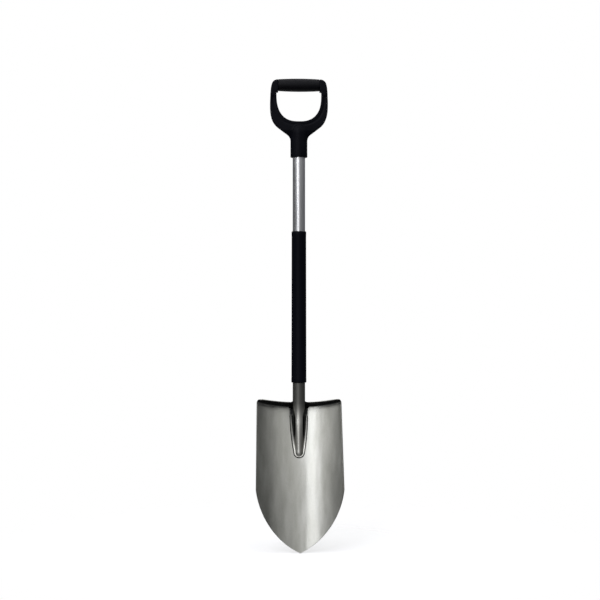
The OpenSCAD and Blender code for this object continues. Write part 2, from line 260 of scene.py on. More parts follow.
# Boron steel sheet, heat treated and ground along its length: satin grey with a faint olive cast and long
# soft streaks in its shine, with painted shade under the treads and beside the neck
BLADE_STEEL = Finish(
    "ground_boron_steel", "#83837B", "#95958E", 1.0, (0.33, 0.38), 16.0, 0.9, 0.10,
    grain=Grain.LENGTHWISE, wave_mm=20.0, wave_relief=0.7, shade_and_darkening_colour="#2A2A2A",
)
# Mild steel tube: darker and duller than the blade above the treads and on the flange, where the mesh's
# attribute darkens it, with painted shade in the crease between tube and flange
NECK_STEEL = Finish(
    "steel_tube", "#A2A199", "#B3B2AA", 1.0, (0.32, 0.4), 14.0, 0.8, 0.08,
    grain=Grain.LENGTHWISE, wave_mm=15.0, wave_relief=0.1, shade_and_darkening_colour="#0D0D0C",
)
# Weld metal left as laid: dark oxide with a rippled skin
WELD_STEEL = Finish("oxidised_weld", "#0B0B0B", "#1C1B1A", 0.6, (0.62, 0.8), 5.0, 0.7, 0.35, specular=0.15)
# Drawn aluminium tube, satin polished along its length: fine lengthwise streaks
SHAFT_ALUMINIUM = Finish(
    "drawn_aluminium", "#CFCFCD", "#E2E2E0", 1.0, (0.26, 0.33), 6.0, 0.6, 0.05, grain=Grain.ALONG_SHAFT
)
# Set aluminium rivets: bright and slightly dented
RIVET_ALUMINIUM = Finish("set_aluminium", "#BDBDBB", "#D9D9D7", 1.0, (0.3, 0.45), 4.0, 0.6, 0.15)
# Extruded PVC sleeve: blue-black with a soft sheen and faint lengthwise drawing marks
SLEEVE_PVC = Finish(
    "extruded_pvc", "#030408", "#06070E", 0.0, (0.42, 0.52), 14.0, 0.8, 0.12,
    grain=Grain.ALONG_SHAFT, specular=0.055,
)
# Glass-filled nylon, moulded in a spark-eroded tool: black, fine even grain, soft highlights
HANDLE_NYLON = Finish(
    "moulded_nylon", "#030307", "#07080D", 0.0, (0.42, 0.52), 20.0, 0.7, 0.18, specular=0.045
)
# Thermoplastic rubber overmould: flatter black with a pebbled skin
GRIP_RUBBER = Finish(
    "overmoulded_rubber", "#040406", "#08080B", 0.0, (0.48, 0.6), 12.0, 1.2, 0.30, specular=0.08
)
# Zinc-plated screw: cool bright grey
SCREW_ZINC = Finish("plated_zinc", "#B4B8BC", "#D2D5D8", 1.0, (0.25, 0.4), 3.0, 0.5, 0.08)


# ---------------------------------------------------------------- modelling by operators


def deselect() -> None:
    """Leave edit mode and deselect everything."""
    if bpy.context.object and bpy.context.object.mode != "OBJECT":
        bpy.ops.object.mode_set(mode="OBJECT")
    bpy.ops.object.select_all(action="DESELECT")


def only(piece: bpy.types.Object) -> None:
    """Make one piece the only selected and the active one."""
    deselect()
    piece.select_set(True)
    bpy.context.view_layer.objects.active = piece


def name_piece(name: str) -> bpy.types.Object:
    """Name the object that an operator has just added."""
    piece = bpy.context.object
    piece.name = name
    piece.data.name = name
    return piece


def modify(piece: bpy.types.Object, kind: str, **settings: object) -> None:
    """Add a modifier to a piece and apply it.

    Args:
        piece: The mesh object.
        kind: The modifier's type.
        settings: The modifier's properties.
    """
    only(piece)
    bpy.ops.object.modifier_add(type=kind)
    modifier = piece.modifiers[-1]
    for name, value in settings.items():
        setattr(modifier, name, value)
    bpy.ops.object.modifier_apply(modifier=modifier.name)


def close_up(piece: bpy.types.Object, outward: bool = True) -> None:
    """Merge coincident vertices and, if asked, turn every face outwards.

    Args:
        piece: The mesh object.
        outward: Whether the normals are recalculated.
    """
    only(piece)
    bpy.ops.object.mode_set(mode="EDIT")
    bpy.ops.mesh.select_all(action="SELECT")
    bpy.ops.mesh.remove_doubles(threshold=0.01 * MM)
    if outward:
        bpy.ops.mesh.normals_make_consistent(inside=False)
    bpy.ops.object.mode_set(mode="OBJECT")


def smooth(piece: bpy.types.Object, degrees: float = 40.0) -> None:
    """Shade smooth across edges flatter than an angle."""
    only(piece)
    bpy.ops.object.shade_smooth_by_angle(angle=math.radians(degrees))


def flip_faces(piece: bpy.types.Object) -> None:
    """Turn every face of a piece round.

    Args:
        piece: The mesh object.
    """
    only(piece)
    bpy.ops.object.mode_set(mode="EDIT")
    bpy.ops.mesh.select_all(action="SELECT")
    bpy.ops.mesh.flip_normals()
    bpy.ops.object.mode_set(mode="OBJECT")


def soften_edges(piece: bpy.types.Object, width: float) -> None:
    """Round a sheet's cut edges.

    Args:
        piece: The mesh object.
        width: The bevel's width in millimetres.
    """
    limit = math.radians(50)
    modify(piece, "BEVEL", width=width * MM, segments=2, limit_method="ANGLE", angle_limit=limit)


def lay_grid(name: str, columns: int, rows: int, place: Place) -> bpy.types.Object:
    """Add a grid and lay each of its points where a surface formula says.

    Args:
        name: The piece's name.
        columns: Steps along the first parameter.
        rows: Steps along the second parameter.
        place: Maps both parameters, each from 0 to 1, to a point in millimetres.

    Returns:
        The laid grid, with its place in its mesh.
    """
    deselect()
    bpy.ops.mesh.primitive_grid_add(x_subdivisions=columns, y_subdivisions=rows, size=2)
    piece = name_piece(name)
    for vertex in piece.data.vertices:
        vertex.co = place((vertex.co.x + 1) / 2, (vertex.co.y + 1) / 2) * MM
    return piece


def extrude_outline(name: str, points: Sequence[Vector], along: Vector) -> bpy.types.Object:
    """Fill a closed outline and extrude it into a solid.

    Args:
        name: The piece's name.
        points: The outline in millimetres, in order.
        along: The extrusion in millimetres.

    Returns:
        The closed solid.
    """
    deselect()
    bpy.ops.mesh.primitive_circle_add(vertices=len(points), fill_type="NGON")
    piece = name_piece(name)
    for vertex, point in zip(piece.data.vertices, points, strict=True):
        vertex.co = point * MM
    bpy.ops.object.mode_set(mode="EDIT")
    bpy.ops.mesh.select_all(action="SELECT")
    bpy.ops.mesh.extrude_region_move(TRANSFORM_OT_translate={"value": along * MM})
    bpy.ops.mesh.select_all(action="SELECT")
    bpy.ops.mesh.normals_make_consistent(inside=False)
    bpy.ops.object.mode_set(mode="OBJECT")
    return piece


def combine(piece: bpy.types.Object, tool: bpy.types.Object, operation: str) -> None:
    """Combine a solid with a tool solid, which is then removed.

    Args:
        piece: The solid that stays.
        tool: The solid that cuts, joins or limits it.
        operation: DIFFERENCE, UNION or INTERSECT.
    """
    modify(piece, "BOOLEAN", operation=operation, solver="EXACT", object=tool)
    bpy.data.objects.remove(tool)


def join(name: str, parts: Sequence[bpy.types.Object]) -> bpy.types.Object:
    """Join several meshes into one object.

    Args:
        name: The joined piece's name.
        parts: The meshes, of which the first takes in the others.

    Returns:
        The joined piece.
    """
    deselect()
    for part in parts:
        part.select_set(True)
    bpy.context.view_layer.objects.active = parts[0]
    bpy.ops.object.join()
    return name_piece(name)


def fill_open_ends(piece: bpy.types.Object) -> None:
    """Close every open rim of a mesh with a face.

    Args:
        piece: The mesh object.
    """
    only(piece)
    bpy.ops.object.mode_set(mode="EDIT")
    bpy.ops.mesh.select_all(action="DESELECT")
    bpy.ops.mesh.select_mode(type="EDGE")
    bpy.ops.mesh.select_non_manifold(extend=False)
    bpy.ops.mesh.edge_face_add()
    bpy.ops.mesh.select_mode(type="VERT")
    bpy.ops.mesh.select_all(action="SELECT")
    bpy.ops.mesh.normals_make_consistent(inside=False)
    bpy.ops.object.mode_set(mode="OBJECT")


def revolve(name: str, profile: Sequence[tuple[float, float]], steps: int) -> bpy.types.Object:
    """Turn a closed profile about the shaft's axis.

    Args:
        name: The piece's name.
        profile: Radius and height of each corner in millimetres, in order round the section.
        steps: Steps round the axis.

    Returns:
        The closed ring.
    """
    ring = [*profile, profile[0]]

    def place(s: float, t: float) -> Vector:
        """Return the point at the share s of a turn and the share t of the profile."""
        radius, height = ring[round(t * (len(ring) - 1))]
        turn = 2 * math.pi * s
        return Vector((radius * math.sin(turn), -radius * math.cos(turn), height))

    piece = lay_grid(name, steps, len(ring) - 1, place)
    close_up(piece)
    return piece


def hand_over(piece: bpy.types.Object, finish: Finish, slot: str, *nodes: str) -> bpy.types.Object:
    """Dress a finished piece, attach it to the body and hide the CAD nodes that it replaces.

    Args:
        piece: The finished mesh object.
        finish: Its finish.
        slot: The name of a material slot; not used.
        nodes: The CAD nodes that it replaces.

    Returns:
        The piece.
    """
    finish.dress(piece)
    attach(piece, BODY)
    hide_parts(*nodes)
    LOG.info("%s: %d faces", piece.name, len(piece.data.polygons))
    return piece


# ---------------------------------------------------------------- shared sizes


@dataclass(frozen=True)
class BladeFrame:
    """The blade's own frame: u runs up its middle from the tip, d out of its hollow front."""

    tip_y: float = -93.736
    tip_z: float = -1020.358
    lift: float = math.radians(20)
    dish_r: float = 137.0

    def at(self, x: float, u: float, d: float) -> Vector:
        """Return the point x to the right, u above the tip and d in front of the middle."""
        sine, cosine = math.sin(self.lift), math.cos(self.lift)
        return Vector((x, self.tip_y + u * sine - d * cosine, self.tip_z + u * cosine + d * sine))

    def sag(self, x: float) -> float:
        """Return how far the hollow front has come forward at x."""
        return self.dish_r - math.sqrt(self.dish_r**2 - x * x)

    def of(self, point: Vector) -> tuple[float, float, float]:
        """Return a point's x, u and d in this frame."""
        sine, cosine = math.sin(self.lift), math.cos(self.lift)
        y, z = point.y - self.tip_y, point.z - self.tip_z
        return point.x, y * sine + z * cosine, z * sine - y * cosine


FRAME = BladeFrame()


def between(a: float, b: float, t: float) -> float:
    """Blend two values."""
    return a + (b - a) * t


def ease(low: float, high: float, value: float) -> float:
    """Return 0 below low, 1 above high and a soft step between them."""
    t = max(0.0, min(1.0, (value - low) / (high - low)))
    return t * t * (3 - 2 * t)


def note_shade_and_darkening(piece: bpy.types.Object, share: Callable[[float, float, float], float]) -> None:
    """Store each vertex's share of painted shade and darkening in the attribute "scale".

    Args:
        piece: The mesh object.
        share: Gives the share from a point's x, u and d in the blade's frame.
    """
    left = piece.data.attributes.new("scale", "FLOAT", "POINT")
    for index, vertex in enumerate(piece.data.vertices):
        left.data[index].value = share(*FRAME.of(vertex.co / MM))


# ---------------------------------------------------------------- blade


@dataclass
class Blade:
    """The pressed blade: a hollow point whose top edge is folded forward into two treads."""

    length: float = 334.0
    width: float = 194.4
    top_width: float = 190.0
    point_length: float = 132.0
    point_r: float = 167.0
    sheet: float = 2.0
    fold_r: float = 5.0
    tread_mid: float = 26.0
    tread_end: float = 12.0
    slot_half: float = 21.0
    tread_corner: float = 4.0
    corner_share: float = 0.05
    corner_rise: float = 2.0
    edge_r: float = 0.45
    columns: int = 120
    slot_columns: int = 14
    point_rows: int = 36
    side_rows: int = 30
    fold_rows: int = 8
    tread_rows: int = 6
    tip_crowding: float = 1.3

    @property
    def fold_u(self) -> float:
        """Return the height at which the fold starts."""
        return self.length - self.sheet - self.fold_r

    def half_width(self, u: float) -> float:
        """Give half the front view's width.

        Args:
            u: The height above the tip.

        Returns:
            Half the width in millimetres.
        """
        if u >= self.point_length:
            t = (u - self.point_length) / (self.length - self.point_length)
            return between(self.width, self.top_width, t) / 2
        chord = math.hypot(self.width / 2, self.point_length)
        gap = math.sqrt(self.point_r**2 - chord * chord / 4)
        centre_x = self.width / 4 - gap * self.point_length / chord
        centre_u = self.point_length / 2 + gap * self.width / 2 / chord
        return max(0.0, centre_x + math.sqrt(self.point_r**2 - (u - centre_u) ** 2))

    def stations(self) -> list[tuple[str, float]]:
        """List the rows of the sheet: up the blade, round the fold and out along the tread.

        Returns:
            Each row's kind and its place within that kind.
        """
        point, sides = self.point_length, self.side_rows
        # The rows crowd towards the tip, where the outline turns most
        shares = [(i / self.point_rows) ** self.tip_crowding for i in range(self.point_rows + 1)]
        rows: list[tuple[str, float]] = [("face", point * share) for share in shares]
        rows += [("face", between(point, self.fold_u, i / sides)) for i in range(1, sides + 1)]
        rows += [("fold", i / self.fold_rows) for i in range(1, self.fold_rows + 1)]
        rows += [("tread", i / self.tread_rows) for i in range(1, self.tread_rows + 1)]
        return rows

    def shares(self) -> list[float]:
        """List the columns, with one on each side of the neck's slot.

        Returns:
            The columns' places as shares of the half width, from -1 to 1.
        """
        slot = self.slot_half / (self.top_width / 2)
        inner, outer = self.slot_columns, self.columns // 2 - self.slot_columns
        right = [slot * i / inner for i in range(1, inner + 1)]
        right += [between(slot, 1.0, i / outer) for i in range(1, outer + 1)]
        return [-s for s in reversed(right)] + [0.0] + right

    def lip(self, turn: float) -> float:
        """Give the place of the treads' front lip.

        Args:
            turn: The angle about the hollow's axis.

        Returns:
            The lip's distance from that axis in millimetres.
        """
        half = self.top_width / 2
        sag = FRAME.sag(half) + self.tread_end - self.tread_mid
        radius = (sag * sag + half * half) / (2 * sag)
        offset = radius + self.tread_mid - FRAME.dish_r
        return -offset * math.cos(turn) + math.sqrt(radius**2 - (offset * math.sin(turn)) ** 2)

    def surface(self, share: float, row: tuple[str, float]) -> Vector:
        """Return a point of the sheet's front face.

        Args:
            share: The place across, from -1 at the left edge to 1 at the right.
            row: A row's kind and its place within that kind.

        Returns:
            The point in millimetres.
        """
        kind, value = row
        # The sheet's back edge, not its front one, reaches the blade's full width
        share_in_front = share * FRAME.dish_r / (FRAME.dish_r + self.sheet)
        if kind == "face":
            x = share_in_front * self.half_width(value)
            rise = self.corner_rise * share * share * ease(self.point_length, self.fold_u, value)
            return FRAME.at(x, value + rise, FRAME.sag(x))
        turn = math.asin(share_in_front * self.half_width(self.fold_u) / FRAME.dish_r)
        if kind == "fold":
            bend = value * math.pi / 2
            radius = FRAME.dish_r - self.fold_r * (1 - math.cos(bend))
            u = self.fold_u + self.fold_r * math.sin(bend)
        else:
            radius = between(FRAME.dish_r - self.fold_r, self.lip(turn), value)
            # The outer corner of each tread is rounded off
            edge = max(0.0, (abs(share) - (1 - self.corner_share)) / self.corner_share)
            radius += value * self.tread_corner * edge * edge
            u = self.fold_u + self.fold_r
        # Pressing leaves the corners a little higher than the middle
        u += self.corner_rise * share * share
        return FRAME.at(radius * math.sin(turn), u, FRAME.dish_r - radius * math.cos(turn))

    def build(self) -> bpy.types.Object:
        """Build the blade.

        Returns:
            The finished piece.
        """
        rows, shares = self.stations(), self.shares()

        def place(s: float, t: float) -> Vector:
            """Return the sheet's point at the share s of its columns and t of its rows."""
            return self.surface(shares[round(s * (len(shares) - 1))], rows[round(t * (len(rows) - 1))])

        piece = lay_grid("blade_sheet", len(shares) - 1, len(rows) - 1, place)
        self.open_slot(piece)
        close_up(piece)
        # The normals face out of the hollow before the sheet gets its thickness behind them
        middle = FRAME.at(0, self.point_length, 0) * MM
        nearest = min(piece.data.polygons, key=lambda face: (face.center - middle).length)
        if nearest.normal.y > 0:
            flip_faces(piece)
        modify(piece, "SOLIDIFY", thickness=self.sheet * MM, offset=-1.0, use_even_offset=True)
        soften_edges(piece, self.edge_r)
        smooth(piece, 35)
        # Painted shade under the treads and beside the neck, stored in the attribute "scale"
        note_shade_and_darkening(piece, self.scale)
        return hand_over(piece, BLADE_STEEL, "blade_steel", "blade")

    def scale(self, x: float, u: float, d: float) -> float:
        """Give the share of painted shade: full under the treads, some beside the neck below them.

        Args:
            x: The distance to the right of the middle.
            u: The height above the tip.
            d: The distance in front of the middle.

        Returns:
            The share, from 0 to 1.
        """
        fold_u = self.fold_u
        out = math.hypot(x, FRAME.dish_r - d)
        share = x / out * FRAME.dish_r / (self.top_width / 2)
        u -= self.corner_rise * share * share * ease(self.point_length, fold_u, u)
        height = FRAME.dish_r - out
        # The skin's distance from the middle of the fold tells its inside from its outside
        skin = math.hypot(max(0.0, u - fold_u), max(0.0, self.fold_r - height))
        inside = 1 - ease(self.fold_r + 0.6, self.fold_r + 1.6, skin)
        # Painted shade on the treads' underside, inside the fold, where shade falls
        tread = ease(fold_u + 0.8, fold_u + 3.2, u) * inside
        # Painted shade on the blade's front beside the neck, below the fold
        shade_by_neck = 1 - ease(17.5, 23.0, abs(x))
        under_fold = ease(302, 312, u)
        in_front = ease(-1.4, -0.5, height)
        return max(tread, 0.9 * shade_by_neck * under_fold * in_front)

    def open_slot(self, piece: bpy.types.Object) -> None:
        """Delete the fold and the tread where the neck passes.

        Args:
            piece: The laid sheet.
        """
        only(piece)
        bpy.ops.object.mode_set(mode="EDIT")
        bpy.ops.mesh.select_mode(type="FACE")
        bpy.ops.mesh.select_all(action="DESELECT")
        bpy.ops.object.mode_set(mode="OBJECT")
        base = FRAME.at(0, 0, 0)
        up = FRAME.at(0, 1, 0) - base
        for face in piece.data.polygons:
            centre = face.center / MM
            face.select = abs(centre.x) < self.slot_half and (centre - base).dot(up) > self.fold_u + 0.01
        bpy.ops.object.mode_set(mode="EDIT")
        bpy.ops.mesh.delete(type="FACE")
        bpy.ops.mesh.select_mode(type="VERT")
        bpy.ops.object.mode_set(mode="OBJECT")


# ---------------------------------------------------------------- neck and its welds


@dataclass
class Neck:
    """The steel neck: a round tube, a gentle bend and a spoon that lies on the blade."""

    radius: float = 14.0
    spigot_r: float = 12.15
    spigot_top_z: float = -504.0
    top_z: float = -584.0
    bend_z: float = -710.5
    bend_r: float = 180.0
    end_u: float = 224.0
    end_r: float = 9.0
    end_h: float = 7.0
    flange_top: float = 309.0
    flange_half: float = 19.0
    flange_end: float = 11.0
    side_share: float = 0.36
    side_bow: float = 1.9
    sweep_start: float = 0.45
    foot_end: float = 7.6
    wall: float = 1.5
    sunk: float = 0.6
    edge_r: float = 0.35
    end_stretch: float = 1.15
    cut_below_u: float = 326.0
    bead_w: float = 2.6
    bead_h: float = 2.2
    bead_length: float = 230.0
    bead_pitch: float = 3.2
    climb: float = 7.0
    fillet_start: float = 0.3
    fillet_ripple: float = 0.14

    def closed_end(self) -> Vector:
        """Return the centre of the round closed end."""
        return FRAME.at(0, self.end_u, self.end_h - self.end_r)

    def bend_angle(self) -> float:
        """Find the forward bend whose tangent leads to the closed end.

        Returns:
            The bend's angle in radians, negative forwards.
        """
        end = self.closed_end()
        y, z = end.y + self.bend_r, end.z - self.bend_z
        return -math.acos(self.bend_r / math.hypot(y, z)) - math.atan2(z, y)

    def stations(self) -> list[tuple[Vector, float, float]]:
        """List the rings of the tube from the top to the closed end.

        Returns:
            Each ring's centre, lean and radius.
        """
        # The spigot inside the shaft, the shoulder under it, then the bare tube
        rings = [(Vector((0, 0, z)), 0.0, self.spigot_r) for z in (self.spigot_top_z, self.top_z)]
        straight = [between(self.top_z, self.bend_z, i / 12) for i in range(13)]
        rings += [(Vector((0, 0, z)), 0.0, self.radius) for z in straight]
        bend, end = self.bend_angle(), self.closed_end()
        for i in range(1, 9):
            lean = bend * i / 8
            y, z = self.bend_r * (math.cos(lean) - 1), self.bend_z - self.bend_r * math.sin(lean)
            rings.append((Vector((0, y, z)), lean, self.radius))
        start = rings[-1][0]
        for i in range(1, 41):
            t = i / 40
            # The drawing-down starts gently, as a pressed tube does
            rings.append((start.lerp(end, t), bend, between(self.radius, self.end_r, t * t * (3 - 2 * t))))
        down = (end - start).normalized()
        for i in range(1, 9):
            a = i / 8 * math.pi / 2
            ahead = down * self.end_r * self.end_stretch * math.sin(a)
            rings.append((end + ahead, bend, self.end_r * math.cos(a)))
        return rings

    def build_tube(self) -> bpy.types.Object:
        """Build the tube and its drawn-down end.

        Returns:
            The closed skin of the tube, cut off flat inside the blade's sheet.
        """
        rings = self.stations()
        origin = FRAME.at(0, 0, 0)
        up, out = FRAME.at(0, 1, 0) - origin, FRAME.at(0, 0, 1) - origin

        def place(s: float, t: float) -> Vector:
            """Return the tube's point at the share s of a turn and the share t of its rings."""
            centre, lean, radius = rings[round(t * (len(rings) - 1))]
            turn = 2 * math.pi * s
            forward = Vector((0, -math.cos(lean), math.sin(lean)))
            point = centre + Vector((1, 0, 0)) * radius * math.sin(turn) - forward * radius * math.cos(turn)
            u, depth = (point - origin).dot(up), (point - origin).dot(out)
            floor = FRAME.sag(point.x) - self.sunk
            if u < self.cut_below_u and depth < floor:
                point += out * (floor - depth)
            return point

        piece = lay_grid("neck_tube_skin", 72, len(rings) - 1, place)
        close_up(piece)
        fill_open_ends(piece)
        return piece

    def outline(self, t: float, edge: float) -> tuple[float, float]:
        """Return a point of the flange's front view, grown by edge.

        Args:
            t: The place along it, from 0 at the top left to 1 at the top right.
            edge: How far outside the flange's edge the point lies.

        Returns:
            The point's x and u in millimetres.
        """
        end_r, half = self.flange_end + edge, self.flange_half + edge
        rise = self.flange_top - self.end_u
        lean = math.asin((half - end_r) / math.hypot(half - end_r, rise))
        side = self.side_share
        if side <= t <= 1 - side:
            a = math.pi + lean + (math.pi - 2 * lean) * (t - side) / (1 - 2 * side)
            return end_r * math.cos(a), self.end_u + end_r * math.sin(a)
        down = min(t, 1 - t) / side
        x = between(half, end_r * math.cos(lean), down)
        # The sides bow outwards a little before they meet the round end
        x += self.side_bow * math.sin(math.pi * down)
        u = between(self.flange_top, self.end_u - end_r * math.sin(lean), down)
        return (-x if t < 0.5 else x), u

    def foot(self, t: float) -> tuple[float, float]:
        """Find the point at the tube's foot that faces a point of the flange's edge.

        Args:
            t: The place along the outline, from 0 to 1.

        Returns:
            The foot's x and u in millimetres.
        """
        x, u = self.outline(t, 0)
        share = max(0.0, min(1.0, (u - self.end_u) / (self.flange_top - self.end_u)))
        wall = between(self.foot_end, self.radius - self.sunk, share)
        if u > self.end_u:
            return math.copysign(wall, x), u
        shrink = self.foot_end / self.flange_end
        return x * shrink, self.end_u + (u - self.end_u) * shrink

    def build_flange(self) -> bpy.types.Object:
        """Build the flange that lies on the blade and sweeps up into the tube.

        Returns:
            The flange with its thickness.
        """

        def place(s: float, t: float) -> Vector:
            """Return the point at the share s of the outline, t of the way in to the tube."""
            x0, u0 = self.outline(s, 0)
            x1, u1 = self.foot(s)
            x, u = between(x0, x1, t), between(u0, u1, t)
            rise = max(0.0, (t - self.sweep_start) / (1 - self.sweep_start))
            # The sweep into the tube is low round the closed end and high along the sides
            lift = between(1.2, 5.5, ease(self.end_u - 2, self.end_u + 40, u0))
            height = self.wall + lift * (1 - math.sqrt(1 - rise * rise))
            return FRAME.at(x, u, FRAME.sag(x) + height)

        piece = lay_grid("spoon_flange", 120, 12, place)
        close_up(piece, outward=False)
        if sum(face.normal.y for face in piece.data.polygons) > 0:
            flip_faces(piece)
        modify(piece, "SOLIDIFY", thickness=(self.wall + 0.3) * MM, offset=-1.0)
        soften_edges(piece, self.edge_r)
        close_up(piece)
        return piece

    def build(self) -> bpy.types.Object:
        """Build the neck with its spoon.

        Returns:
            The finished piece.
        """
        piece = join("steel_neck", [self.build_tube(), self.build_flange()])
        smooth(piece, 45)
        # Painted shade in the crease, and a darker tone on the flange and above the treads, stored in the
        # attribute "scale"
        note_shade_and_darkening(piece, self.scale)
        return hand_over(piece, NECK_STEEL, "neck_steel", "neck_tube")

    def scale(self, x: float, u: float, d: float) -> float:
        """Give the share of darkening: painted shade in the crease between tube and flange, a darker flange,
        and a darker tube above the treads.

        Args:
            x: The distance to the right of the middle.
            u: The height above the tip.
            d: The distance in front of the blade's middle.

        Returns:
            The share, from 0 to 1.
        """
        share = max(0.0, min(1.0, (u - self.end_u) / (self.flange_top - self.end_u)))
        wall = between(self.foot_end + 0.8, self.radius, share)
        height = d - FRAME.sag(x)
        low = 1 - ease(20.0, 28.0, height)
        # Painted shade in the crease between the tube and the flange
        crease_shade = ease(6.2, 8.8, abs(x)) * (1 - ease(1.12, 1.4, abs(x) / wall))
        crease_shade *= low * ease(224, 272, u) * (1 - ease(334, 342, u))
        flange = 0.45 * (1 - ease(1.8, 4.5, height)) * ease(226, 258, u)
        # The tube is darkened fully above the treads, and the darkening fades out down the spoon
        darker_above_treads = 0.68 * ease(292, 332, u)
        return max(crease_shade, darker_above_treads, flange)

    def build_bead(self) -> bpy.types.Object:
        """Build the rippled bead round the spoon's flange.

        Returns:
            The finished piece.
        """

        def place(s: float, t: float) -> Vector:
            """Return the point at the share s of the bead's length and t of its section."""
            ripple = math.sin(2 * math.pi * s * self.bead_length / self.bead_pitch)
            section = math.pi * t
            reach = self.bead_w * (1 + 0.06 * ripple)
            # The bead overlaps the flange's edge and sinks a little into the blade
            x, u = self.outline(s, -0.8 + reach * (1 - math.cos(section)) / 2)
            height = self.bead_h * (0.92 + 0.08 * ripple) * math.sin(section) ** 0.8 - 0.3
            return FRAME.at(x, u, FRAME.sag(x) + height)

        piece = lay_grid("spoon_bead", 320, 10, place)
        fill_open_ends(piece)
        close_up(piece)
        smooth(piece, 60)
        return hand_over(piece, WELD_STEEL, "weld_steel", "spoon_weld")

    def build_tread_weld(self, side: int, node: str, blade: Blade) -> bpy.types.Object:
        """Build the concave fillet between a tread and the neck.

        Args:
            side: -1 for the left, 1 for the right.
            node: The CAD node that it replaces.
            blade: The blade, for its tread sizes.

        Returns:
            The finished piece.
        """
        front, back = blade.tread_mid - blade.sheet + 0.4, self.fillet_start
        inner, outer = self.radius - 1.2, blade.slot_half + 1.6
        top = blade.length + 0.3

        def section(t: float, ripple: float, floor: float, climb: float) -> tuple[float, float]:
            """Return a point of the fillet's section, as x and u.

            Args:
                t: The place round the section: its hollow face, the neck's side, the underside
                    and the tread's side.
                ripple: How far the weld's ripple stands out here.
                floor: The height of the underside.
                climb: How far the fillet climbs the neck.

            Returns:
                The point's x and u in millimetres.
            """
            if t < 0.5:
                bow = t / 0.5 * math.pi / 2
                reach = outer - inner
                x = outer - reach * math.sin(bow) + ripple * math.sin(2 * bow)
                return x, top + climb * (1 - math.cos(bow)) + ripple * math.sin(2 * bow)
            if t < 0.75:
                return inner, between(top + climb, floor, (t - 0.5) / 0.25)
            if t < 0.9:
                return between(inner, outer, (t - 0.75) / 0.15), floor
            return outer, between(floor, top, (t - 0.9) / 0.1)

        def place(s: float, t: float) -> Vector:
            """Return the point at the share s of the section and t of the way to the front."""
            depth = between(back, front, t)
            ripple = self.fillet_ripple * math.sin(2 * math.pi * t * (front - back) / self.bead_pitch)
            floor = between(blade.fold_u - 1.5, blade.length - blade.sheet - 0.4, min(1.0, t * 2.5))
            # The fillet runs out at both ends
            climb = (self.climb - 0.3) * min(1.0, math.sqrt(min(t, 1 - t) / 0.2) + 0.12)
            x, u = section(s % 1.0, ripple, floor, climb)
            # The inner side follows the round tube, and passes behind it at the back
            y = FRAME.at(0, u, depth).y
            near = math.sqrt(max(1.0, inner * inner - y * y))
            x = outer - (outer - x) * (outer - near) / (outer - inner)
            return FRAME.at(side * x, u, depth)

        piece = lay_grid(f"tread_fillet_{'left' if side < 0 else 'right'}", 40, 36, place)
        close_up(piece)
        fill_open_ends(piece)
        smooth(piece, 55)
        return hand_over(piece, WELD_STEEL, "weld_steel", node)


# ---------------------------------------------------------------- sleeve


@dataclass
class Sleeve:
    """The black sleeve over the shaft, with a slight cuff at each end."""

    top_z: float = -314.0
    bottom_z: float = -654.0
    bore_r: float = 14.1
    wall_top: float = 2.2
    wall_bottom: float = 2.7
    cuff_len: float = 10.0
    cuff_h: float = 0.2
    cuff_ramp: float = 1.2
    lip_r: float = 1.75

    def lip(self, radius: float, z: float, up: int) -> list[tuple[float, float]]:
        """List a cuff's section, from the bore round its lip to the sleeve's skin.

        Args:
            radius: The radius of the sleeve's skin.
            z: The height of the sleeve's end.
            up: 1 at the upper end, -1 at the lower.

        Returns:
            The radius and height of each corner.
        """
        r, outer = self.lip_r, radius + self.cuff_h
        points = [(self.bore_r, z)]
        for i in range(7):
            a = math.pi / 2 * i / 6
            points.append((outer - r + r * math.sin(a), z - up * (r - r * math.cos(a))))
        points += [(outer, z - up * (self.cuff_len - self.cuff_ramp)), (radius, z - up * self.cuff_len)]
        return points

    def build(self) -> bpy.types.Object:
        """Build the sleeve.

        Returns:
            The finished piece.
        """
        top = self.lip(self.bore_r + self.wall_top, self.top_z, 1)
        bottom = self.lip(self.bore_r + self.wall_bottom, self.bottom_z, -1)
        piece = revolve("black_sleeve", top + bottom[::-1], 96)
        smooth(piece, 30)
        return hand_over(piece, SLEEVE_PVC, "sleeve_black", "shaft_sleeve")


# ---------------------------------------------------------------- handle


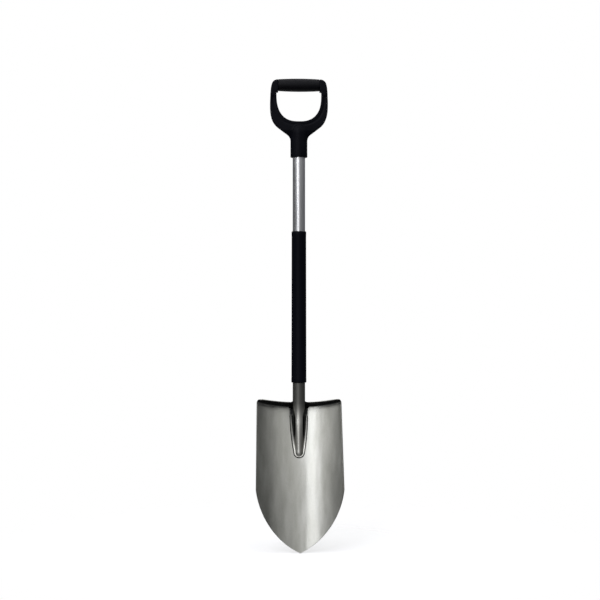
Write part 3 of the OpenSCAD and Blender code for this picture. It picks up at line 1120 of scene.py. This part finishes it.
@dataclass
class Handle:
    """The moulded D handle and the soft cover on its grip bar."""

    half_w: float = 65.0
    opening_half: float = 51.0
    opening_h: float = 68.0
    web_h: float = 20.0
    socket_depth: float = 60.0
    ferrule_r: float = 19.05
    arm_depth: float = 22.0
    grip_d: float = 29.4
    grip_end_d: float = 26.4
    grip_len: float = 93.0
    bore_r: float = 14.05
    rim_h: float = 12.0
    rim_r: float = 1.6
    core_r: float = 9.3
    root_core: float = 0.4
    screw_d: float = 4.0
    screw_height: float = 28.0
    flank_r: float = 18.0
    crown_power: float = 9.0
    crown_taper: float = 0.075
    crown_drop: float = 2.0
    base_power: float = 3.0
    base_share: float = 0.74
    opening_power: float = 2.6
    groove_depth: float = 0.9
    mouth_z: float = field(init=False)
    waist_z: float = field(init=False)

    def __post_init__(self) -> None:
        """Work out the heights that the other sizes fix."""
        self.mouth_z = -self.opening_h - self.web_h - self.socket_depth
        self.waist_z = -0.37 * self.opening_h

    @staticmethod
    def curve(half_w: float, half_h: float, z0: float, power: float, a: float) -> tuple[float, float]:
        """Find a point of a superellipse.

        Args:
            half_w: Half its width.
            half_h: Half its height.
            z0: The height of its middle.
            power: Its squareness, 2 for an ellipse.
            a: The angle, from 0 at the right.

        Returns:
            The point's x and z in millimetres.
        """
        c, s = math.cos(a), math.sin(a)
        x = half_w * math.copysign(abs(c) ** (2 / power), c)
        return x, z0 + half_h * math.copysign(abs(s) ** (2 / power), s)

    def right_side(self) -> list[tuple[float, float]]:
        """List the outline's right half from the top to the socket's mouth.

        Returns:
            The points' x and z in millimetres.
        """
        half, waist, power = self.half_w, self.waist_z, self.base_power
        base_h = self.opening_h + self.web_h + waist + 2
        crown_h = self.grip_d - self.crown_drop - waist
        points = []
        for i in range(1, 49):
            x, z = self.curve(half, crown_h, waist, self.crown_power, math.pi / 2 * (1 - i / 48))
            points.append((x * (1 - self.crown_taper * ((z - waist) / crown_h) ** 2), z))
        # Where the base has narrowed to this share, it runs straight on to a fillet above the socket
        leave = self.base_share
        last = math.acos(leave ** (power / 2))
        points += [self.curve(half, base_h, waist, power, -last * i / 30) for i in range(1, 31)]
        fall = (1 - leave**power) ** (1 / power)
        slope = base_h / half * leave ** (power - 1) * fall ** (1 - power)
        lean = math.atan(slope)
        foot = waist - base_h * fall - slope * (leave * half - self.ferrule_r)
        foot -= self.flank_r * math.tan(math.pi / 4 - lean / 2)
        for i in range(14, -1, -1):
            a = (math.pi / 2 - lean) * i / 14
            x = self.ferrule_r + self.flank_r * (1 - math.cos(a))
            points.append((x, foot + self.flank_r * math.sin(a)))
        return points

    def opening(self, grow: float = 0.0) -> list[tuple[float, float]]:
        """List the hand opening's outline.

        Args:
            grow: How far outside the opening's edge it runs.

        Returns:
            The points' x and z in millimetres, in order.
        """
        half, height = self.opening_half + grow, self.opening_h - 4.0 + grow
        points = [self.curve(half, height, -4.0, self.opening_power, -math.pi * i / 72) for i in range(73)]
        turns = [math.pi / 2 * i / 6 for i in range(1, 7)]
        left = [(-half + 1 - math.cos(a), -1.0 + (1.0 + grow) * math.sin(a)) for a in turns]
        return points + left + [(-x, z) for x, z in reversed(left)]

    def block(
        self, name: str, points: Sequence[tuple[float, float]], y0: float, y1: float
    ) -> bpy.types.Object:
        """Extrude a front view between two depths."""
        return extrude_outline(name, [Vector((x, y0, z)) for x, z in points], Vector((0, y1 - y0, 0)))

    def build_frame(self) -> bpy.types.Object:
        """Build the rigid moulding.

        Returns:
            The finished piece.
        """
        right = self.right_side()
        outline = right + [(-x, z) for x, z in reversed(right)]
        piece = self.block("handle_moulding", outline, -30, 30)
        # Smoothing the moulding widens the hand opening, which is cut that much smaller
        combine(piece, self.block("opening_cut", self.opening(-1.4), -40, 40), "DIFFERENCE")
        half = self.grip_len / 2
        gap = [(-half, -2), (-half, 60), (half, 60), (half, -2)]
        combine(piece, self.block("grip_cut", gap, -40, 40), "DIFFERENCE")
        combine(piece, self.side_view(), "INTERSECT")
        for y in (-1, 1):
            combine(piece, self.groove(y), "DIFFERENCE")
        combine(piece, self.build_root(), "UNION")
        modify(piece, "REMESH", mode="VOXEL", voxel_size=1.0 * MM)
        modify(piece, "SMOOTH", factor=0.5, iterations=16)
        # The corners under the grip bar stay crisp
        combine(piece, self.block("corner_cut", self.opening(-0.4), -40, 40), "DIFFERENCE")
        # The bore is cut to the socket's depth, and the recess a little wider than the screw
        mouth, bore = (0, 0, self.mouth_z), 2 * self.socket_depth
        combine(piece, self.cutter("shaft_bore", self.bore_r, mouth, bore, 0), "DIFFERENCE")
        screw_at = (0, self.ferrule_r + 2, self.mouth_z + self.screw_height)
        recess = self.cutter("screw_recess", self.screw_d + 0.3, screw_at, 9, math.pi / 2)
        combine(piece, recess, "DIFFERENCE")
        piece = join("handle_moulding", [piece, self.build_rim(), self.build_core()])
        smooth(piece, 40)
        return hand_over(piece, HANDLE_NYLON, "handle_black", "handle_frame")

    def cutter(
        self, name: str, radius: float, at: tuple[float, float, float], depth: float, lean: float
    ) -> bpy.types.Object:
        """Build a round cutting tool.

        Args:
            name: The tool's name.
            radius: Its radius in millimetres.
            at: Its centre in millimetres.
            depth: Its length in millimetres.
            lean: How far it is turned about X, from lying along Z.

        Returns:
            The closed tool.
        """
        deselect()
        place = {"location": [c * MM for c in at], "rotation": (lean, 0, 0)}
        bpy.ops.mesh.primitive_cylinder_add(vertices=64, radius=radius * MM, depth=depth * MM, **place)
        piece = name_piece(name)
        bpy.ops.object.transform_apply(location=True, rotation=True, scale=True)
        return piece

    def build_root(self) -> bpy.types.Object:
        """Build the socket's round body, whose top closes in a dome inside the web.

        Returns:
            The closed body.
        """
        radius, core = self.ferrule_r, self.root_core
        start_z, top_z = -self.opening_h - self.web_h - 4, -self.opening_h - 0.3 * self.web_h
        profile = [(core, self.mouth_z + 3), (radius, self.mouth_z + 3), (radius, start_z)]
        fall = radius - 0.4 * self.arm_depth
        for i in range(1, 9):
            a = math.pi / 2 * i / 8
            profile.append((radius - fall * (1 - math.cos(a)), between(start_z, top_z, math.sin(a))))
        profile.append((core, top_z))
        return revolve("handle_root", profile, 96)

    def build_rim(self) -> bpy.types.Object:
        """Build the socket's crisp rounded rim, with the bore that takes the shaft.

        Returns:
            The closed ring.
        """
        z, bore, r = self.mouth_z, self.bore_r, self.rim_r
        rim = [(bore + 0.5, z), (bore, z + 0.5), (bore, z + self.rim_h), (self.ferrule_r, z + self.rim_h)]
        for i in range(7):
            a = math.pi / 2 * i / 6
            rim.append((self.ferrule_r - r + r * math.cos(a), z + r - r * math.sin(a)))
        return revolve("socket_rim", rim, 96)

    def build_core(self) -> bpy.types.Object:
        """Build the core bar that runs through the soft cover.

        Returns:
            The closed bar.
        """
        deselect()
        place = {"location": (0, 0, self.grip_d / 2 * MM), "rotation": (0, math.pi / 2, 0)}
        size = {"radius": self.core_r * MM, "depth": (self.grip_len + 4) * MM}
        bpy.ops.mesh.primitive_cylinder_add(vertices=48, **size, **place)
        piece = name_piece("grip_core")
        bpy.ops.object.transform_apply(location=True, rotation=True, scale=True)
        return piece

    def side_view(self) -> bpy.types.Object:
        """Build the solid that limits the D's depth along its height.

        Returns:
            The closed limit.
        """
        full, arm = self.grip_end_d / 2, self.arm_depth / 2
        web_z, foot_z = -self.opening_h - self.web_h, self.right_side()[-1][1] - 2
        # Height and half depth, from above the grip bar down to the socket
        stations = [(34.0, 8.0), (29.4, 9.6), (26.0, full - 0.6), (20.0, full), (4.0, full)]
        stations += [(-4.0, full - 0.6), (self.waist_z, arm), (web_z, arm), (foot_z, 2.0)]
        front = [Vector((-90, -d, z)) for z, d in stations]
        back = [Vector((-90, d, z)) for z, d in stations]
        return extrude_outline("side_limit", front + back[::-1], Vector((180, 0, 0)))

    def groove(self, y: int) -> bpy.types.Object:
        """Build the shallow band that is sunk round the hand opening.

        Args:
            y: -1 for the front, 1 for the back.

        Returns:
            The closed cutting tool.
        """
        outer = [p for p in self.opening(9.6) if p[1] < -5]
        inner = [p for p in self.opening(4.8) if p[1] < -5]
        near = self.arm_depth / 2 - self.groove_depth
        return self.block("arm_groove", outer + inner[::-1], y * near, y * (near + 30))

    def build_grip(self) -> bpy.types.Object:
        """Build the barrel-shaped soft cover.

        Returns:
            The finished piece.
        """
        half, middle_r, end_r = self.grip_len / 2, self.grip_d / 2, self.grip_end_d / 2
        sag = middle_r - end_r
        barrel_r = (sag * sag + half * half) / (2 * sag)
        profile: list[tuple[float, float]] = [(9.5, -half)]
        lip = 0.7
        for i in range(4):
            a = math.pi / 2 * i / 4
            profile.append((end_r - lip + lip * math.sin(a), -half + lip - lip * math.cos(a)))
        for i in range(33):
            x = between(-half + lip, half - lip, i / 32)
            profile.append((middle_r - barrel_r + math.sqrt(barrel_r**2 - x * x), x))
        for i in range(3, -1, -1):
            a = math.pi / 2 * i / 4
            profile.append((end_r - lip + lip * math.sin(a), half - lip + lip * math.cos(a)))
        profile.append((9.5, half))
        ring = [*profile, profile[0]]

        def place(s: float, t: float) -> Vector:
            """Return the point at the share s of a turn and the share t of the profile."""
            radius, x = ring[round(t * (len(ring) - 1))]
            turn = 2 * math.pi * s
            return Vector((x, radius * math.cos(turn), middle_r + radius * math.sin(turn)))

        piece = lay_grid("soft_grip", 64, len(ring) - 1, place)
        close_up(piece)
        smooth(piece, 50)
        return hand_over(piece, GRIP_RUBBER, "grip_rubber", "grip_cover")


# ---------------------------------------------------------------- studio


@dataclass
class Studio:
    """The pale floor, the soft lights and the camera."""

    camera_far: float = 3.0
    camera_z: float = -0.4684
    camera_turn: float = math.radians(-2)
    lens: float = 80.0
    sensor_w: float = 36.0
    aim_x: float = 0.0025
    light_aim_z: float = -0.8
    floor_z: float = -1.0212
    floor_cover: float = 0.35
    floor_fade: tuple[float, float] = (0.12, 0.7)
    glow: float = 0.13

    def build_camera(self) -> None:
        """Create the level camera in front of the blade's hollow."""
        data = bpy.data.cameras.new("studio_camera")
        data.lens, data.sensor_width = self.lens, self.sensor_w
        data.clip_end = 100
        camera = bpy.data.objects.new("studio_camera", data)
        bpy.context.scene.collection.objects.link(camera)
        turn = self.camera_turn
        camera.location = (
            self.aim_x + self.camera_far * math.sin(turn),
            -self.camera_far * math.cos(turn),
            self.camera_z,
        )
        camera.rotation_euler = (math.pi / 2, 0, turn)
        bpy.context.scene.camera = camera

    def softbox(
        self,
        name: str,
        azimuth: float,
        lift: float,
        far: float,
        size: tuple[float, float],
        power: float,
        tint: str = "#FBFBFF",
    ) -> None:
        """Add a soft rectangular light that faces the shovel's lower half.

        Args:
            name: The light's name.
            azimuth: Its direction in degrees, 0 in front and positive to the right.
            lift: Its height above the horizon in degrees.
            far: Its distance in metres.
            size: Its width and height in metres.
            power: Its power in watts.
            tint: Its colour.
        """
        data = bpy.data.lights.new(name, "AREA")
        data.color = linear(tint)[:3]
        data.shape, data.energy = "RECTANGLE", power
        data.size, data.size_y = size
        light = bpy.data.objects.new(name, data)
        bpy.context.scene.collection.objects.link(light)
        a, e = math.radians(azimuth), math.radians(lift)
        aim = Vector((0, 0, self.light_aim_z))
        towards = Vector((math.sin(a) * math.cos(e), -math.cos(a) * math.cos(e), math.sin(e)))
        light.location = aim + far * towards
        light.rotation_euler = (light.location - aim).to_track_quat("Z", "Y").to_euler()
        light.visible_camera = False

    def build_floor(self) -> None:
        """Lay the pale floor, which fades into the surroundings."""
        deselect()
        middle = (0, 0, self.floor_z)
        bpy.ops.mesh.primitive_circle_add(vertices=96, radius=1, fill_type="NGON", location=middle)
        floor = name_piece("studio_floor")
        bpy.ops.object.transform_apply(location=True, rotation=True, scale=True)
        matt = bpy.data.materials.new("matt_floor_paint")
        matt.use_nodes = True
        tree = matt.node_tree
        shader = tree.nodes["Principled BSDF"]
        shader.inputs["Base Color"].default_value = linear("#FAFAFA")
        shader.inputs["Roughness"].default_value = 0.9
        # The paint thins out with the distance from the shovel
        place = add_node(tree, "ShaderNodeTexCoord").outputs["Object"]
        flat = add_node(tree, "ShaderNodeMapping", {"Scale": (1, 1, 0)}, {"Vector": place}).outputs["Vector"]
        far = add_node(tree, "ShaderNodeVectorMath", {"operation": "LENGTH"}, {0: flat}).outputs["Value"]
        near, away = self.floor_fade
        ends = {"From Min": near, "From Max": away, "To Min": self.floor_cover, "To Max": 0.0}
        cover = add_node(tree, "ShaderNodeMapRange", ends, {"Value": far}).outputs["Result"]
        tree.links.new(cover, shader.inputs["Alpha"])
        floor.data.materials.append(matt)

    def build_surroundings(self) -> None:
        """Make the surroundings pale behind the shovel and dim where it mirrors them."""
        world = bpy.data.worlds.new("studio_surroundings")
        bpy.context.scene.world = world
        world.use_nodes = True
        tree = world.node_tree
        tree.nodes.clear()
        seen = add_node(tree, "ShaderNodeBackground", {"Color": linear("#FFFFFF"), "Strength": 1.0})
        glow = add_node(tree, "ShaderNodeBackground", {"Color": linear("#F2F5FF"), "Strength": self.glow})
        path = add_node(tree, "ShaderNodeLightPath")
        sockets = {"Fac": path.outputs["Is Camera Ray"], 1: glow.outputs[0], 2: seen.outputs[0]}
        mix = add_node(tree, "ShaderNodeMixShader", {}, sockets)
        add_node(tree, "ShaderNodeOutputWorld", {}, {"Surface": mix.outputs[0]})

    def build(self) -> None:
        """Build the whole studio."""
        self.build_camera()
        self.build_floor()
        self.build_surroundings()
        self.softbox("key_softbox", -24, 38, 3.0, (0.85, 2.0), 38, "#F4F5FF")
        self.softbox("key_foot", -16, 4, 3.0, (0.95, 1.2), 6.5)
        self.softbox("front_panel", -8, 20, 4.0, (4.0, 4.0), 15)
        self.softbox("left_panel", -64, 42, 3.6, (2.8, 2.2), 48)
        self.softbox("right_panel", 24, 42, 3.6, (3.2, 2.0), 33)
        self.softbox("far_right_panel", 76, 45, 3.6, (2.4, 2.2), 24)
        self.softbox("floor_wash", 0, 88, 3.0, (2.0, 2.0), 40)
        # The back and the blade's underside are lit as by a pale room and its floor
        self.softbox("back_panel", 180, 34, 3.6, (3.4, 2.2), 34)
        self.softbox("back_bounce", 180, -40, 2.4, (3.0, 1.4), 22)


# ---------------------------------------------------------------- assembly


@dataclass
class Shovel:
    """The whole shovel, in the order in which it is put together."""

    blade: Blade = field(default_factory=Blade)
    neck: Neck = field(default_factory=Neck)
    sleeve: Sleeve = field(default_factory=Sleeve)
    handle: Handle = field(default_factory=Handle)

    def dress_kept_nodes(self, nodes: dict[str, bpy.types.Object]) -> None:
        """Give the CAD nodes whose shape stays their finishes.

        Args:
            nodes: The frame's CAD nodes by name.
        """
        kept = {"shaft_tube": SHAFT_ALUMINIUM, "joint_rivets": RIVET_ALUMINIUM, "handle_screw": SCREW_ZINC}
        for name, finish in kept.items():
            for slot in nodes[name].material_slots:
                slot.material = finish.material()
            LOG.info("%s: kept with %s", name, finish.name)

    def build(self, nodes: dict[str, bpy.types.Object]) -> None:
        """Build and dress every piece.

        Args:
            nodes: The frame's CAD nodes by name.
        """
        self.blade.build()
        self.neck.build()
        self.neck.build_bead()
        self.neck.build_tread_weld(-1, "tread_weld_left", self.blade)
        self.neck.build_tread_weld(1, "tread_weld_right", self.blade)
        self.sleeve.build()
        self.handle.build_frame()
        self.handle.build_grip()
        self.dress_kept_nodes(nodes)


def main() -> None:
    """Load the frame, and build the shovel and its studio."""
    logging.basicConfig(level=logging.INFO, format="%(name)s %(message)s")
    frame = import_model()
    bpy.context.scene.view_settings.view_transform = "Standard"
    Studio().build()
    Shovel().build(frame["nodes"])
    deselect()


if __name__ == "__main__":
    main()
